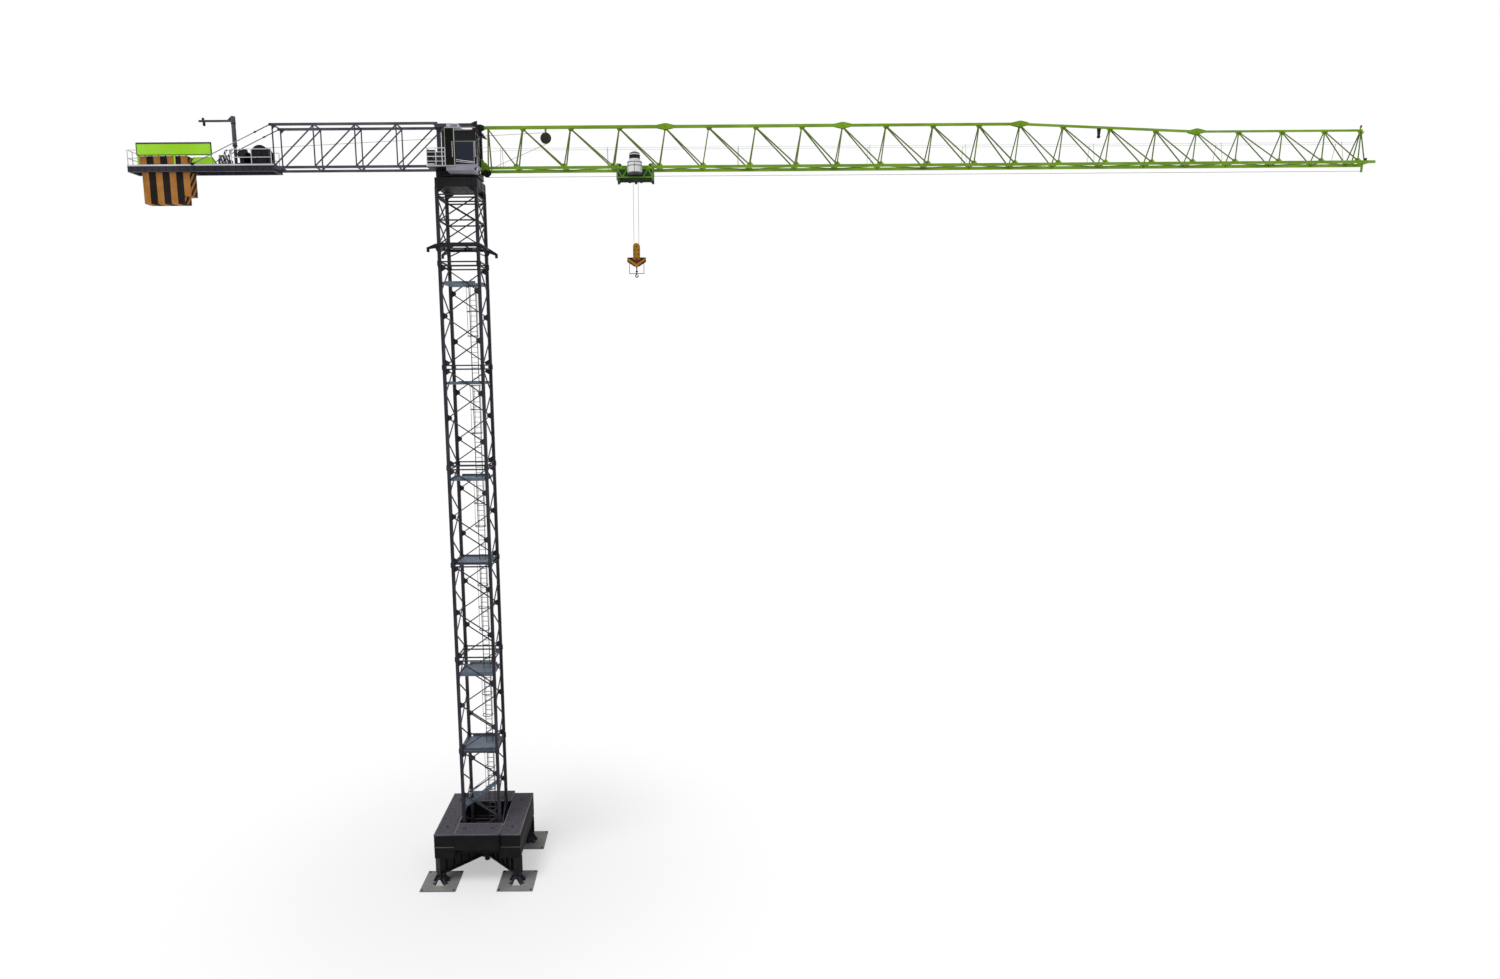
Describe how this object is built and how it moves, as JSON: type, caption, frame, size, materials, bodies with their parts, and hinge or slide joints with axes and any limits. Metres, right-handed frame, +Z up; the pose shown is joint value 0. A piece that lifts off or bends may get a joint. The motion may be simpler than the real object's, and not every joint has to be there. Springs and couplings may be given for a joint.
{
  "type": "scale model of a flat-top tower crane",
  "caption": "Half-size flat-top tower crane: lattice mast on a ballasted cross base, slewing jib and counter-jib, trolley, hook block and a small davit",
  "frame": {"origin": "on the ground, on the mast axis, in the plane under the four foot plates", "axes": "+X out along the jib, +Y across it away from the cab, +Z up"},
  "size_m": [35.065, 3.385, 22.5795],
  "materials": {
    "mast_steel": "charcoal paint, satin",
    "top_steel": "dark grey paint, satin",
    "base_steel": "charcoal paint, satin",
    "ballast_concrete": "dark painted concrete",
    "landing_steel": "blue-grey paint on floor plate",
    "jib_green": "yellow-green paint, satin",
    "sign_green": "bright green paint, satin",
    "counterjib_grey": "mid grey paint, satin",
    "cab_grey": "light grey paint, semi-gloss",
    "cab_glass": "dark tinted glass",
    "panel_black": "black paint, semi-gloss",
    "slab_concrete": "ochre painted concrete",
    "trolley_green": "dark green paint, satin",
    "housing_white": "white moulded housing",
    "block_ochre": "ochre paint, satin",
    "forged_steel": "dark forged steel",
    "sheave_steel": "dark cast steel",
    "rail_white": "white paint on tube",
    "rope_steel": "greased wire rope",
    "winch_black": "black paint, semi-gloss"
  },
  "bodies": {
    "tower": {"foot_plates": "base_steel", "foot_pedestals": "base_steel", "cross_base": "base_steel", "ballast_lower": "ballast_concrete", "ballast_upper": "ballast_concrete", "mast_legs": "mast_steel", "mast_bracing_front": "mast_steel", "mast_bracing_rear": "mast_steel", "mast_bracing_left": "mast_steel", "mast_bracing_right": "mast_steel", "mast_landings": "landing_steel", "mast_ladders": "landing_steel", "top_unit_bracing": "top_steel", "mast_collar": "mast_steel", "slew_support": "top_steel", "slewing_ring": "sheave_steel", "access_stair": "landing_steel"},
    "upper_works": {"turntable": "top_steel", "slew_drives": "top_steel", "turret_frame": "counterjib_grey", "cab_shell": "cab_grey", "cab_glass": "cab_glass", "cab_side_panel": "panel_black", "service_platform": "rail_white", "service_cabinet": "counterjib_grey", "jib_top_chord": "jib_green", "jib_bottom_chords": "jib_green", "jib_side_front": "jib_green", "jib_side_rear": "jib_green", "jib_bottom_lacing": "jib_green", "jib_tip_frame": "jib_green", "jib_root_sheave": "sheave_steel", "jib_guide_sheave": "sheave_steel", "counterjib_top_chords": "counterjib_grey", "counterjib_bottom_chords": "counterjib_grey", "counterjib_side_front": "counterjib_grey", "counterjib_side_rear": "counterjib_grey", "counterjib_deck": "counterjib_grey", "tie_bars": "counterjib_grey", "counterweights": "slab_concrete", "sign_board": "sign_green", "low_board": "sign_green", "hoist_winch": "winch_black", "switch_cabinet": "counterjib_grey", "counterjib_handrails": "rail_white", "davit_post": "counterjib_grey", "hoist_rope": "rope_steel"},
    "trolley": {"trolley_frame": "trolley_green", "trolley_wheels": "trolley_green", "trolley_sheaves": "sheave_steel", "trolley_reel_housing": "housing_white", "rope_falls": "rope_steel"},
    "hook_block": {"hook_block_housing": "block_ochre", "hook_block_sheave": "sheave_steel", "hook_block_cheeks": "block_ochre"},
    "hook": {"hook": "forged_steel"},
    "davit": {"davit_arm": "counterjib_grey"}
  },
  "joints": [
    {"name": "slew", "type": "hinge", "parent": "tower", "child": "upper_works", "pos_m": [0, 0, 20.8], "axis": [0, 0, 1], "range_deg": [-540, 540]},
    {"name": "trolley_travel", "type": "slide", "parent": "upper_works", "child": "trolley", "axis": [1, 0, 0], "range_m": [-3.185, 19.9]},
    {"name": "hoist", "type": "slide", "parent": "trolley", "child": "hook_block", "axis": [0, 0, 1], "range_m": [-17.75, 1.45], "deforming": ["rope_falls"]},
    {"name": "hook_swivel", "type": "hinge", "parent": "hook_block", "child": "hook", "pos_m": [4.985, 0, 18.3], "axis": [0, 0, 1], "continuous": true},
    {"name": "davit_swing", "type": "hinge", "parent": "upper_works", "child": "davit", "pos_m": [-6.335, 0, 22.3995], "axis": [0, 0, 1], "range_deg": [-110, 110]}
  ]
}
